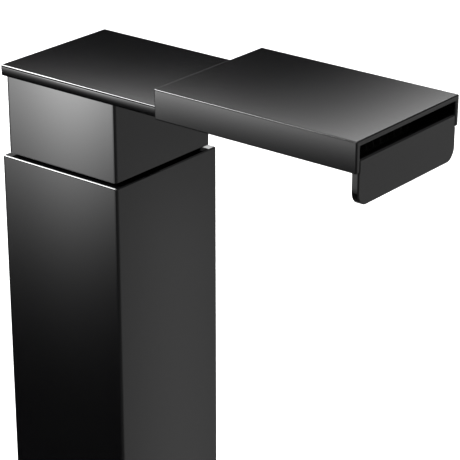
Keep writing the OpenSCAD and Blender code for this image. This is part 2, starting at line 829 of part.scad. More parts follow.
module lever_dome() {
    color(finish) lever_axis(pivot_x) difference() {
        union() {
            difference() {
                sphere(dome_r);
                sphere(dome_r - dome_wall);
            }
            intersection() {
                sphere(dome_r);
                span([-dome_block, -stem_half, dome_block], [dome_block, stem_half, dome_r]);
            }
            translate([0, 0, dome_r - dome_wall])
                cylinder(r = post_out_r, h = handle_x - pivot_x - dome_r + dome_wall);
        }
        span([-dome_r - over, -dome_r - over, -dome_r - over],
            [dome_r + over, dome_r + over, -dome_mouth]);
        span([-stem_w / 2 - slip_gap, -stem_w / 2 - slip_gap, 0],
            [stem_w / 2 + slip_gap, stem_w / 2 + slip_gap, stem_end - pivot_x + slip_gap]);
        cylinder(r = handle_screw_r + slip_gap, h = handle_x - pivot_x + over);
    }
}

module lever_handle() {
    color(finish) lever_axis(handle_x) difference() {
        translate([-(lever_up - lever_down) / 2, 0, 0]) linear_extrude(lever_t)
            rounded_square(lever_up + lever_down, lever_w, edge_r);
        translate([0, 0, -over]) cylinder(r = handle_screw_r + slip_gap, h = lever_t + 2 * over);
        translate([0, 0, lever_t - cap_t - handle_head_h])
            cylinder(r = handle_head_r + slip_gap, h = lever_t);
        translate([0, 0, lever_t - cap_t]) cylinder(r = cap_r + slip_gap, h = cap_t + over);
    }
}

module handle_screw() {
    length = lever_t - cap_t - handle_head_h + handle_x - stem_end + stem_thread - 0.5;
    color(steel) lever_axis(handle_x + lever_t - cap_t - handle_head_h) rotate([180, 0, 0])
        screw(handle_screw_r, length, handle_head_r, handle_head_h);
}

module index_cap() {
    color(cap_grey) lever_axis(handle_x + lever_t - cap_t) cylinder(r = cap_r, h = cap_t);
}

column_shell();
base_plate();
base_seal();
base_screws();
back_screws();
valve_body();
threaded_shank();
deck_washer();
clamp_washer();
back_nut();
cartridge_base();
cartridge_seals();
fixed_disc();
cartridge_housing();
cartridge_nut();
bonnet();
riser_tube();
riser_seals();
swivel_post();
post_screws();
swivel_rings();
slip_ring();
stop_pin();
neck_block();
neck_lock_screw();
inlet_gasket();
spout_plate();
duct_floor();
neck_screws();
spout_hood();
hood_seal();
hood_screws();
flow_straightener();
mixer_rotor();
pivot_pin();
moving_disc();
disc_carrier();
control_stem();
lever_dome();
lever_handle();
handle_screw();
index_cap();
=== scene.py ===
import json
import math
import bpy
import bmesh
import numpy as np
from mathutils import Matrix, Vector


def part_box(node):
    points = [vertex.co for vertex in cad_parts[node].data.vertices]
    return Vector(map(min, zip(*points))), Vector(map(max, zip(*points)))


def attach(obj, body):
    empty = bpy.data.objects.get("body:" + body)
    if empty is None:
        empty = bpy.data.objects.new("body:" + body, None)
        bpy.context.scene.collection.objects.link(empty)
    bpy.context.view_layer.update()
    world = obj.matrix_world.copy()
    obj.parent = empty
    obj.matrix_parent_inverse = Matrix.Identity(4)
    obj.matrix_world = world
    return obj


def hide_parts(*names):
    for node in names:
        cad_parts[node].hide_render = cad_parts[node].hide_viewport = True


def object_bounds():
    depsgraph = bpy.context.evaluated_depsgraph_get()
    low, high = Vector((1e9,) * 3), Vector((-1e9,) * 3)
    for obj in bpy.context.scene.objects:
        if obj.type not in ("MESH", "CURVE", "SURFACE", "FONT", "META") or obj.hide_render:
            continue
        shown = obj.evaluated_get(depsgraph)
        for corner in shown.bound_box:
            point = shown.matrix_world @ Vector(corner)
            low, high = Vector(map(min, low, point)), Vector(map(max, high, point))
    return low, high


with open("model.json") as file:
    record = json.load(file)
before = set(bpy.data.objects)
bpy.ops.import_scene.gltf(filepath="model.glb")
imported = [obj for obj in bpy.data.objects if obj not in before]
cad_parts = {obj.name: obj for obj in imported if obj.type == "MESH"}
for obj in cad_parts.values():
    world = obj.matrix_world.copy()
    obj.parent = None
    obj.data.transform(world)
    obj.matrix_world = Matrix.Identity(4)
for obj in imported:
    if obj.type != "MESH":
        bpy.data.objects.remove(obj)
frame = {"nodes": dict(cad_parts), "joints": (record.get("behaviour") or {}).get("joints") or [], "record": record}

cadLow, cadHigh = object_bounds()
mm = 0.001
tau = 2 * math.pi


def nodeBox(name):
    low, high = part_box(name)
    return np.array(low), np.array(high)


# Places that several pieces share, all read from the frame
columnHigh = nodeBox("column_shell")[1]
neckLow, neckHigh = nodeBox("neck_block")
plateLow, plateHigh = nodeBox("spout_plate")
hoodLow, hoodHigh = nodeBox("spout_hood")
columnTop = columnHigh[2]
joints = {joint["name"]: joint for joint in frame["joints"]}
leverPivot = np.array(joints["mix_turn"]["pos_m"])
screwHead = 2.7 * mm  # radius of every small screw's head
nearly = 0.05 * mm  # a row this far past a fillet keeps the flat beside it flat when shaded
weld, sliver = 1e-7, 1e-8  # points and edges nearer or shorter than this are closed up


def ringFaces(rows, columns, closeRows):
    # every cell of the grid becomes a quad; columns always close, rows close when asked
    rowIndex = np.arange(rows if closeRows else rows - 1)
    columnIndex = np.arange(columns)
    row, column = np.meshgrid(rowIndex, columnIndex, indexing="ij")
    nextRow = (row + 1) % rows
    nextColumn = (column + 1) % columns
    quads = np.stack([row * columns + column, row * columns + nextColumn,
                      nextRow * columns + nextColumn, nextRow * columns + column], axis=-1)
    return quads.reshape(-1, 4)


def signedVolume(points, faces):
    # sum of the tetrahedra from the origin to a fan over each face
    total = 0.0
    for face in faces:
        first = points[face[0]]
        for second, third in zip(face[1:-1], face[2:]):
            total += np.dot(first, np.cross(points[second], points[third]))
    return total / 6


def quadVolume(points, quads):
    a, b, c, d = (points[quads[:, k]] for k in range(4))
    return (np.einsum("ij,ij->i", a, np.cross(b, c)).sum()
            + np.einsum("ij,ij->i", a, np.cross(c, d)).sum()) / 6


def shellFromGrid(grid, closeRows=False, capEnds=True):
    # a grid of rings as points and faces, with a flat face over each open end, turned outwards
    rows, columns = grid.shape[:2]
    points = grid.reshape(-1, 3)
    quads = ringFaces(rows, columns, closeRows)
    caps = []
    if not closeRows and capEnds:
        caps = [list(range(columns))[::-1], list(range((rows - 1) * columns, rows * columns))]
    volume = quadVolume(points, quads) + (signedVolume(points, caps) if caps else 0)
    faces = quads.tolist() + caps
    if volume < 0:
        faces = [face[::-1] for face in faces]
    return points, faces


def joinShells(shells):
    points, faces, start = [], [], 0
    for shellPoints, shellFaces in shells:
        points.append(shellPoints)
        faces += [[start + index for index in face] for face in shellFaces]
        start += len(shellPoints)
    return np.vstack(points), faces


def meshObject(name, shell, sharpDeg=32):
    points, faces = shell
    mesh = bpy.data.meshes.new(name)
    mesh.from_pydata(points.tolist(), [], faces)
    work = bmesh.new()
    work.from_mesh(mesh)
    bmesh.ops.remove_doubles(work, verts=work.verts, dist=weld)
    bmesh.ops.dissolve_degenerate(work, edges=work.edges, dist=sliver)
    work.to_mesh(mesh)
    work.free()
    finishShading(mesh, sharpDeg)
    thing = bpy.data.objects.new(name, mesh)
    bpy.context.scene.collection.objects.link(thing)
    return thing


def finishShading(mesh, sharpDeg):
    mesh.polygons.foreach_set("use_smooth", [True] * len(mesh.polygons))
    mesh.set_sharp_from_angle(angle=math.radians(sharpDeg))
    mesh.update()


def cut(thing, shells, sharpDeg=32):
    # takes each closed shell away from the piece and keeps the result as the piece's own mesh
    for index, shell in enumerate(shells):
        tool = meshObject(f"{thing.name}Tool{index}", shell)
        boolean = thing.modifiers.new("cut", "BOOLEAN")
        boolean.operation = "DIFFERENCE"
        boolean.solver = "EXACT"
        boolean.object = tool
        bpy.context.view_layer.update()
        solid = thing.evaluated_get(bpy.context.evaluated_depsgraph_get())
        mesh = bpy.data.meshes.new_from_object(solid)
        thing.modifiers.clear()
        old = thing.data
        thing.data = mesh
        bpy.data.meshes.remove(old)
        toolMesh = tool.data
        bpy.data.objects.remove(tool)
        bpy.data.meshes.remove(toolMesh)
    thing.data.name = thing.name
    finishShading(thing.data, sharpDeg)
    return thing


def turnTo(axis):
    # a rotation that takes +Z to the given direction
    return np.array(Vector((0, 0, 1)).rotation_difference(Vector(axis)).to_matrix())


def placed(shell, origin, axis=(0, 0, 1)):
    points, faces = shell
    return points @ turnTo(axis).T + np.array(origin), faces


def squareRing(halfX, halfY, radius, arcSteps=6, sideSteps=12):
    # a rectangle with round corners: each corner is a quarter circle, each side is straight
    corners = [(1, 1), (-1, 1), (-1, -1), (1, -1)]
    pieces = []
    for k, (sx, sy) in enumerate(corners):
        angle = np.linspace(k, k + 1, arcSteps + 1) * math.pi / 2
        centre = np.array([sx * (halfX - radius), sy * (halfY - radius)])
        arc = centre + radius * np.stack([np.cos(angle), np.sin(angle)], axis=-1)
        nx, ny = corners[(k + 1) % 4]
        turn = (k + 1) * math.pi / 2
        target = np.array([nx * (halfX - radius), ny * (halfY - radius)])
        target = target + radius * np.array([math.cos(turn), math.sin(turn)])
        share = np.concatenate([[0.01], np.linspace(0, 1, sideSteps + 1)[1:-1], [0.99]])[:, None]
        pieces += [arc, arc[-1] + (target - arc[-1]) * share]
    return np.vstack(pieces)


def squareTurns():
    # the direction of each point of a rounded square, for the circles that join up with it
    ring = squareRing(1, 1, 0.03)
    return np.arctan2(ring[:, 1], ring[:, 0])


def circleLike(radius):
    turns = squareTurns()
    return radius * np.stack([np.cos(turns), np.sin(turns)], axis=-1)


def atHeight(ring, z):
    return np.column_stack([ring, np.full(len(ring), z)])


def quarter(steps=5):
    # sine and cosine over a quarter turn, for fillets
    angle = np.linspace(0, math.pi / 2, steps + 1)
    return np.sin(angle), np.cos(angle)


def lathe(profile, around=72):
    # the profile's (radius, height) pairs turned about +Z
    profile = np.asarray(profile, float)
    angle = np.arange(around) / around * tau
    radius = profile[:, 0][:, None]
    height = np.repeat(profile[:, 1][:, None], around, axis=1)
    return np.stack([radius * np.cos(angle), radius * np.sin(angle), height], axis=-1)


def roundedProfile(corners, closed=True):
    # corners are (radius, height, fillet); each fillet is an arc that touches both its sides
    count = len(corners)
    out = []
    for k, (x, y, fillet) in enumerate(corners):
        here = np.array([x, y])
        if fillet <= 0 or (not closed and k in (0, count - 1)):
            out.append(here[None])
            continue
        before = np.array(corners[k - 1][:2])
        after = np.array(corners[(k + 1) % count][:2])
        a = (before - here) / np.linalg.norm(before - here)
        b = (after - here) / np.linalg.norm(after - here)
        half = math.acos(np.clip(a @ b, -1, 1)) / 2
        reach = fillet / math.tan(half)
        middle = here + (a + b) / np.linalg.norm(a + b) * fillet / math.sin(half)
        start, end = here + a * reach - middle, here + b * reach - middle
        turn = math.acos(np.clip(start @ end / fillet ** 2, -1, 1))
        share = np.linspace(0, 1, 6)[:, None]
        arc = (np.sin((1 - share) * turn) * start + np.sin(share * turn) * end) / math.sin(turn)
        tight = 0.04 * mm  # a point just past each end keeps the flats flat when shaded
        out += [(middle + start + a * tight)[None], middle + arc, (middle + end + b * tight)[None]]
    return np.vstack(out)


def turned(corners, around=72):
    # a solid of revolution whose section is a closed outline with fillets
    return shellFromGrid(lathe(roundedProfile(corners), around), closeRows=True)


def rod(radius, low, high, around=48):
    # a plain closed cylinder, used to drill with
    return shellFromGrid(lathe([(radius, low), (radius, high)], around))


def block(low, high):
    # a plain closed box, used to cut with
    low, high = np.array(low), np.array(high)
    middle, half = (low + high) / 2, (high - low) / 2
    ring = np.array([[1, 1], [-1, 1], [-1, -1], [1, -1]]) * half[:2] + middle[:2]
    return shellFromGrid(np.stack([atHeight(ring, low[2]), atHeight(ring, high[2])]))


def hexRadius(angle, flat):
    # a hexagon in polar form: the flat's distance over the cosine of the angle from its middle
    return flat / np.cos((angle + math.pi / 6) % (math.pi / 3) - math.pi / 6)


class Value:
    # wraps a socket, so that sums on shader values are written as sums
    def __init__(self, paint, socket):
        self.paint = paint
        self.socket = socket

    def combine(self, operation, first, second):
        return self.paint.node("ShaderNodeMath", {"operation": operation}, {0: first, 1: second})

    def __add__(self, other):
        return self.combine("ADD", self, other)

    def __radd__(self, other):
        return self.combine("ADD", other, self)

    def __sub__(self, other):
        return self.combine("SUBTRACT", self, other)

    def __rsub__(self, other):
        return self.combine("SUBTRACT", other, self)

    def __mul__(self, other):
        return self.combine("MULTIPLY", self, other)

    def __rmul__(self, other):
        return self.combine("MULTIPLY", other, self)


class Paint:
    # the nodes of one material or of the world, with one method that adds any node
    def __init__(self, owner):
        owner.use_nodes = True
        self.owner = owner
        self.tree = owner.node_tree
        self.tree.nodes.clear()

    def node(self, kind, settings=None, inputs=None, output=0):
        made = self.tree.nodes.new(kind)
        for key, setting in (settings or {}).items():
            setattr(made, key, setting)
        for key, given in (inputs or {}).items():
            if isinstance(given, Value):
                self.tree.links.new(given.socket, made.inputs[key])
            else:
                made.inputs[key].default_value = given
        return Value(self, made.outputs[output])

    def close(self, shader, kind):
        ending = self.tree.nodes.new(kind)
        self.tree.links.new(shader.socket, ending.inputs["Surface"])
        return self.owner

    def place(self, stretch=(1, 1, 1)):
        # object coordinates in metres, stretched where a pattern runs one way
        spot = self.node("ShaderNodeTexCoord", output="Object")
        return self.node("ShaderNodeMapping", {}, {"Vector": spot, "Scale": stretch})

    def noise(self, spot, perMetre, detail=2.0, rough=0.5):
        return self.node("ShaderNodeTexNoise", {}, {"Vector": spot, "Scale": perMetre,
                                                    "Detail": detail, "Roughness": rough})

    def blend(self, factor, first, second):
        return self.node("ShaderNodeMix", {"data_type": "RGBA"},
                         {0: factor, 6: (*first, 1), 7: (*second, 1)}, output=2)

    def bump(self, height, strength, distance):
        return self.node("ShaderNodeBump", {}, {"Height": height, "Strength": strength,
                                                "Distance": distance})

    def finish(self, **inputs):
        named = {key.replace("_", " "): given for key, given in inputs.items()}
        return self.close(self.node("ShaderNodeBsdfPrincipled", {}, named), "ShaderNodeOutputMaterial")


def newPaint(name):
    return Paint(bpy.data.materials.new(name))


def satinLacquer():
    look = {"dark": (0.0014, 0.0014, 0.0015), "light": (0.0022, 0.0022, 0.0024), "roughness": 0.05,
            "drift": 0.02, "relief": 0.02, "depth": 0.02 * mm}
    paint = newPaint("satinLacquer")
    spot = paint.place()
    broad = paint.noise(spot, 22, 2)  # slow drift of the gloss over the hand-rubbed faces
    peel = paint.noise(spot, 1500, 3, 0.55)  # the lacquer's fine orange peel
    return paint.finish(Base_Color=paint.blend(broad, look["dark"], look["light"]),
                        Roughness=(look["roughness"] + (broad - 0.5) * look["drift"]
                                   + (peel - 0.5) * look["drift"]),
                        Normal=paint.bump(peel, look["relief"], look["depth"]))


def rawBrass():
    look = {"dark": (0.50, 0.33, 0.12), "light": (0.72, 0.52, 0.24), "roughness": 0.24, "tarnish": 0.16,
            "grain": 0.1, "relief": 0.12, "depth": 0.03 * mm}
    paint = newPaint("rawBrass")
    spot = paint.place()
    tarnish = paint.noise(spot, 60, 4, 0.6)
    grain = paint.noise(paint.place((1, 1, 9)), 700, 3)  # fine turning marks round the axis
    return paint.finish(Base_Color=paint.blend(tarnish, look["dark"], look["light"]), Metallic=1.0,
                        Roughness=(look["roughness"] + tarnish * look["tarnish"]
                                   + (grain - 0.5) * look["grain"]),
                        Normal=paint.bump(grain, look["relief"], look["depth"]))


def brightSteel():
    look = {"dark": (0.52, 0.53, 0.55), "light": (0.68, 0.69, 0.71), "roughness": 0.22, "brushing": 0.14,
            "relief": 0.08, "depth": 0.02 * mm}
    paint = newPaint("brightSteel")
    stroke = paint.noise(paint.place((1, 1, 0.06)), 2200, 3)  # brushing strokes
    cloud = paint.noise(paint.place(), 45, 2)
    return paint.finish(Base_Color=paint.blend(cloud, look["dark"], look["light"]), Metallic=1.0,
                        Roughness=look["roughness"] + stroke * look["brushing"],
                        Normal=paint.bump(stroke, look["relief"], look["depth"]))


def softRubber():
    look = {"dark": (0.012, 0.012, 0.012), "light": (0.028, 0.028, 0.027), "roughness": 0.62,
            "dust": 0.18, "relief": 0.25, "depth": 0.05 * mm}
    paint = newPaint("softRubber")
    spot = paint.place()
    dust = paint.noise(spot, 90, 3)
    grain = paint.noise(spot, 1800, 3)
    return paint.finish(Base_Color=paint.blend(dust, look["dark"], look["light"]),
                        Roughness=look["roughness"] + dust * look["dust"],
                        Normal=paint.bump(grain, look["relief"], look["depth"]))


def whiteAcetal():
    look = {"dark": (0.74, 0.74, 0.70), "light": (0.82, 0.82, 0.79), "roughness": 0.38,
            "grain": 0.12, "relief": 0.08, "depth": 0.02 * mm}
    paint = newPaint("whiteAcetal")
    spot = paint.place()
    cloud = paint.noise(spot, 70, 2)
    grain = paint.noise(spot, 2400, 2)
    return paint.finish(Base_Color=paint.blend(cloud, look["dark"], look["light"]),
                        Roughness=look["roughness"] + grain * look["grain"],
                        Normal=paint.bump(grain, look["relief"], look["depth"]))


def polishedCeramic():
    look = {"dark": (0.80, 0.80, 0.76), "light": (0.88, 0.88, 0.85), "roughness": 0.1, "cloud": 0.06}
    paint = newPaint("polishedCeramic")
    spot = paint.place()
    cloud = paint.noise(spot, 120, 3)
    return paint.finish(Base_Color=paint.blend(cloud, look["dark"], look["light"]),
                        Roughness=look["roughness"] + cloud * look["cloud"])


def glossCap():
    look = {"dark": (0.018, 0.018, 0.02), "light": (0.03, 0.03, 0.032), "roughness": 0.12, "cloud": 0.08}
    paint = newPaint("glossCap")
    spot = paint.place()
    cloud = paint.noise(spot, 150, 2)
    return paint.finish(Base_Color=paint.blend(cloud, look["dark"], look["light"]),
                        Roughness=look["roughness"] + cloud * look["cloud"])


finishes = {"finish": satinLacquer(), "brass": rawBrass(), "steel": brightSteel(),
            "rubber": softRubber(), "plastic": whiteAcetal(), "ceramic": polishedCeramic(),
            "cap": glossCap()}
slotOf = {row["node"]: row["material_slot"] for row in frame["record"]["subparts"]}
for nodeName, thing in frame["nodes"].items():
    thing.data.materials.clear()
    thing.data.materials.append(finishes[slotOf[nodeName]])
print("materials: ready")


def standFor(thing, node, body):
    # a finished piece takes the place, the body and the finish of its CAD node
    thing.data.materials.clear()
    thing.data.materials.append(finishes[slotOf[node]])
    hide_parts(node)
    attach(thing, body)
    return thing


def filletRows(half, radius, z, fillet, rising, leastCorner=0.05 * mm):
    # rounded squares that turn a side into a flat: in by 1 - cos, up by sin
    sines, cosines = quarter()
    rows = []
    order = zip(sines, cosines) if rising else reversed(list(zip(sines, cosines)))
    for sine, cosine in order:
        inset = fillet * (1 - cosine)
        height = z - fillet * (1 - sine) if rising else z + fillet * (1 - sine)
        corner = max(radius - inset, leastCorner)
        rows.append(atHeight(squareRing(half - inset, half - inset, corner), height))
    return rows


def holeRows(radius, z, fillet, down=True):
    # circles that turn a flat into the wall of a hole
    sines, cosines = quarter(4)
    side = -1 if down else 1
    return [atHeight(circleLike(radius + fillet * (1 - s)), z + side * fillet * (1 - c))
            for s, c in zip(sines, cosines)]


def makeColumn():
    look = {"corner": 0.7 * mm, "topEdge": 0.5 * mm, "footEdge": 0.4 * mm, "holeEdge": 0.3 * mm,
            "wall": 3 * mm, "topWall": 5 * mm, "innerCorner": 0.3 * mm, "screwHead": 2.75 * mm,
            "screwHole": 1.55 * mm, "hole": 11.05 * mm, "sideHole": 17.55 * mm,
            "ledgeCorner": 0.25 * mm, "headDepth": 1.6 * mm}
    half = columnHigh[0]
    inner = half - look["wall"]
    ring = squareRing(inner, inner, look["innerCorner"])
    rows = [atHeight(ring, 0.0)]
    rows += filletRows(half, look["corner"], 0.0, look["footEdge"], rising=False)
    rows.append(atHeight(squareRing(half, half, look["corner"]), look["footEdge"] + nearly))
    rows.append(atHeight(squareRing(half, half, look["corner"]), columnTop - look["topEdge"] - nearly))
    rows += filletRows(half, look["corner"], columnTop, look["topEdge"], rising=True)
    flat = half - look["topEdge"] - nearly
    rows.append(atHeight(squareRing(flat, flat, look["ledgeCorner"]), columnTop))
    rows.append(atHeight(circleLike(look["hole"] + look["holeEdge"] + nearly), columnTop))
    rows += holeRows(look["hole"], columnTop, look["holeEdge"])
    rows.append(atHeight(circleLike(look["hole"]), columnTop - look["topWall"]))
    rows.append(atHeight(ring, columnTop - look["topWall"]))
    column = meshObject("columnShell", shellFromGrid(np.stack(rows), closeRows=True))
    backLow, backHigh = nodeBox("back_screws")
    height = (backLow[2] + backHigh[2]) / 2
    across = backHigh[0] - (backHigh[2] - backLow[2]) / 2
    tools = [placed(rod(look["sideHole"], inner - mm, half + mm), (0, 0, leverPivot[2]), (1, 0, 0))]
    for side in (-1, 1):
        spot = (side * across, 0, height)
        tools.append(placed(rod(look["screwHole"], inner - mm, half + mm), spot, (0, 1, 0)))
        tools.append(placed(rod(look["screwHead"], half - look["headDepth"], half + mm), spot, (0, 1, 0)))
    cut(column, tools)
    return standFor(column, "column_shell", "column")


def makeNeck():
    look = {"corner": 0.7 * mm, "topEdge": 0.25 * mm, "footEdge": 0.4 * mm, "holeEdge": 0.3 * mm,
            "bore": 11.05 * mm, "boreTop": 20.5 * mm, "screwWell": 2.9 * mm, "web": 4.5 * mm,
            "slotWidth": 3.4 * mm, "slotRadius": 16.5 * mm, "slotDepth": 3.4 * mm,
            "slotSpare": 6, "ledgeCorner": 0.25 * mm, "water": 6 * mm, "gasketPlay": 0.02 * mm,
            "lockPlay": 0.03 * mm, "lockFrom": 10 * mm}
    half = neckHigh[0]
    foot, top = neckLow[2], neckHigh[2]
    gasketLow, gasketHigh = nodeBox("inlet_gasket")
    gasketRing = circleLike(gasketHigh[0] + look["gasketPlay"])
    water = circleLike(look["water"])
    rows = filletRows(half, look["corner"], foot, look["footEdge"], rising=False)
    rows.append(atHeight(squareRing(half, half, look["corner"]), foot + look["footEdge"] + nearly))
    rows.append(atHeight(squareRing(half, half, look["corner"]), top - look["topEdge"] - nearly))
    rows += filletRows(half, look["corner"], top, look["topEdge"], rising=True)
    rows += [atHeight(gasketRing, top), atHeight(gasketRing, gasketLow[2]), atHeight(water, gasketLow[2])]
    bore = circleLike(look["bore"])
    rows += [atHeight(water, columnTop + look["boreTop"]), atHeight(bore, columnTop + look["boreTop"])]
    rows += holeRows(look["bore"], foot, look["holeEdge"], down=False)[::-1]
    flat = half - look["footEdge"] - nearly
    rows.append(atHeight(squareRing(flat, flat, look["ledgeCorner"]), foot))
    neck = meshObject("neckBlock", shellFromGrid(np.stack(rows), closeRows=True))
    lockLow, lockHigh = nodeBox("neck_lock_screw")
    lockRadius = lockHigh[0] + look["lockPlay"]
    lockHeight = (lockLow[2] + lockHigh[2]) / 2
    tools = [placed(rod(lockRadius, look["lockFrom"], half + mm), (0, 0, lockHeight), (0, 1, 0))]
    screwHigh = nodeBox("neck_screws")[1]
    at = screwHigh[0] - screwHead
    for x, y in ((1, 1), (1, -1), (-1, 1), (-1, -1)):
        tools.append(placed(rod(look["screwWell"], foot - mm, top - look["web"]), (x * at, y * at, 0)))
    swing = math.radians(joints["spout_swivel"]["range_deg"][1] + look["slotSpare"])
    angle = math.pi / 2 + np.linspace(-swing, swing, 61)
    section = np.array([(-1, -1), (1, -1), (1, 1), (-1, 1)]) * look["slotWidth"] / 2
    radius = look["slotRadius"] + section[:, 0]
    height = np.where(section[:, 1] < 0, foot - mm, columnTop + look["slotDepth"])
    slot = np.stack([np.cos(angle)[:, None] * radius, np.sin(angle)[:, None] * radius,
                     np.repeat(height[None], len(angle), axis=0)], axis=-1)
    tools.append(shellFromGrid(slot))
    cut(neck, tools)
    return standFor(neck, "neck_block", "spout")


def stripRing(half, insetX, insetT, thick, edge, under):
    # across the outer face, round its edge, down a side that turns under, and back along the inner face
    sines, cosines = quarter(5)
    across = np.concatenate([[-1, -0.998], np.linspace(-0.96, 0.96, 25), [0.998, 1]])
    wide = half - insetX
    low, high = insetT, thick - insetT
    soft = np.minimum(edge, (high - low) * 0.45)
    keen = soft * 0.4  # the inner edge is the sharper one
    down = np.linspace(0, 1, 8)[1:-1]
    depth = low + soft + (high - low - soft - keen) * down
    side = wide - under * down ** 2
    rightX = np.concatenate([wide - soft + soft * sines, side, wide - under - keen + keen * cosines])
    rightT = np.concatenate([low + soft - soft * cosines, depth, high - keen + keen * sines])
    topX = across * (wide - soft)
    footX = across * (wide - under - keen)
    x = np.concatenate([topX[:-1], rightX, footX[::-1][1:-1], -rightX[::-1]])
    t = np.concatenate([np.full(len(topX) - 1, low), rightT,
                        np.full(len(footX) - 2, high), rightT[::-1]])
    return x, t


def makePlate():
    look = {"edge": 0.4 * mm, "rearEdge": 0.2 * mm, "turnUnder": 0.16 * mm, "bend": 0.8 * mm,
            "innerBend": 0.6 * mm, "corner": 4.4 * mm, "tip": 0.4 * mm, "tongue": 2.45 * mm,
            "shoulder": 0.15 * mm, "weirRamp": 1.5 * mm, "outlet": 1.9 * mm,
            "outletPitch": 4.8 * mm, "outletsAcross": 6, "outletRows": 3, "outletsFrom": 10 * mm,
            "slack": 0.03 * mm, "ductStep": 2.2 * mm, "ductRoof": 1.2 * mm, "headDepth": 1.63 * mm,
            "rearStep": 0.1 * mm, "stepFrom": 0.02 * mm, "stepUntil": 0.06 * mm, "outletDeep": 2 * mm}
    floorLow, floorHigh = nodeBox("duct_floor")
    sealLow, sealHigh = nodeBox("hood_seal")
    top, foot = sealLow[2], floorLow[2]  # the plate's two faces
    weir, tip = plateHigh[2], plateLow[2]
    rear, front = plateHigh[1], plateLow[1]
    inFront = front + look["tongue"]  # the tongue's back face
    wide, narrow = plateHigh[0] - look["shoulder"], sealHigh[0]
    tongueHalf = plateHigh[0]
    hoodRear, hoodFoot = hoodHigh[1], hoodLow[2]
    rows = []  # outer point, inner point, half width, inset across, inset in depth, turn-under

    def add(outer, inner, half, insetX=0.0, insetT=0.0, under=0.0):
        rows.append((outer, inner, half, insetX, insetT, under))

    sines, cosines = quarter(5)
    for s, c in zip(sines[::-1], cosines[::-1]):
        y = rear - look["rearEdge"] * (1 - s)
        inset = look["rearEdge"] * (1 - c)
        add((y, top), (y, foot), wide, inset, inset, look["turnUnder"])
    for y in np.concatenate([[rear - look["rearEdge"] - nearly], np.linspace(rear - mm, hoodRear, 12)]):
        add((y, top), (y, foot), wide, under=look["turnUnder"])
    for y in np.linspace(hoodRear - look["rearStep"], inFront + look["weirRamp"], 10):
        add((y, top), (y, foot), narrow)
    bendLow = weir - look["bend"]
    for s, c in zip(sines, cosines):  # the bend: outside round a large radius, inside round a small one
        outer = (front + look["bend"] * (1 - s), bendLow + look["bend"] * c)
        inner = (inFront + look["innerBend"] * (1 - s), foot - look["innerBend"] * (1 - c))
        add(outer, inner, narrow)
    for z in (bendLow - nearly, hoodFoot - look["stepFrom"]):
        add((front, z), (inFront, min(z, foot - look["innerBend"])), narrow)
    cornerTop = tip + look["corner"]
    for z in np.linspace(hoodFoot - look["stepUntil"], cornerTop, 5):
        add((front, z), (inFront, min(z, foot - look["innerBend"])), tongueHalf)
    for angle in np.linspace(0, math.pi / 2, 19)[1:]:
        z = cornerTop - look["corner"] * math.sin(angle)
        half = tongueHalf - look["corner"] * (1 - math.cos(angle))
        short = max(look["tip"] - (z - tip), 0.0)
        insetT = look["tip"] - math.sqrt(look["tip"] ** 2 - short ** 2)
        add((front, z), (inFront, z), half, insetT=insetT)
    rings = []
    for (outer, inner, half, insetX, insetT, under) in rows:
        outer, inner = np.array(outer), np.array(inner)
        thick = np.linalg.norm(inner - outer)
        x, t = stripRing(half, insetX, insetT, thick, look["edge"], under)
        spot = outer + (inner - outer) / thick * t[:, None]
        rings.append(np.column_stack([x, spot]))
    plate = meshObject("spoutPlate", shellFromGrid(np.stack(rings)))
    slack, step = look["slack"], look["ductStep"]
    recess = block((floorLow[0] - slack, floorLow[1] - slack, foot - mm),
                   (floorHigh[0] + slack, floorHigh[1] + slack, floorHigh[2] + slack))
    duct = block((floorLow[0] + step, floorLow[1] + step, foot),
                 (floorHigh[0] - step, floorHigh[1] - step, top - look["ductRoof"]))
    tools = [recess, duct]
    screwLow, screwHigh = nodeBox("hood_screws")
    holes = []
    for x in (screwLow[0] + screwHead, screwHigh[0] - screwHead):
        for y in (screwLow[1] + screwHead, screwHigh[1] - screwHead):
            holes.append(placed(rod(screwHead + slack, foot - mm, foot + look["headDepth"]), (x, y, 0)))
    pitch = look["outletPitch"]
    for i in range(look["outletsAcross"]):
        for j in range(look["outletRows"]):
            across = (i - (look["outletsAcross"] - 1) / 2) * pitch
            spot = (across, hoodRear - look["outletsFrom"] - j * pitch, 0)
            outlet = rod(look["outlet"], top - look["outletDeep"], top + mm, around=24)
            holes.append(placed(outlet, spot))
    cut(plate, tools + [joinShells(holes)])
    return standFor(plate, "spout_plate", "spout")


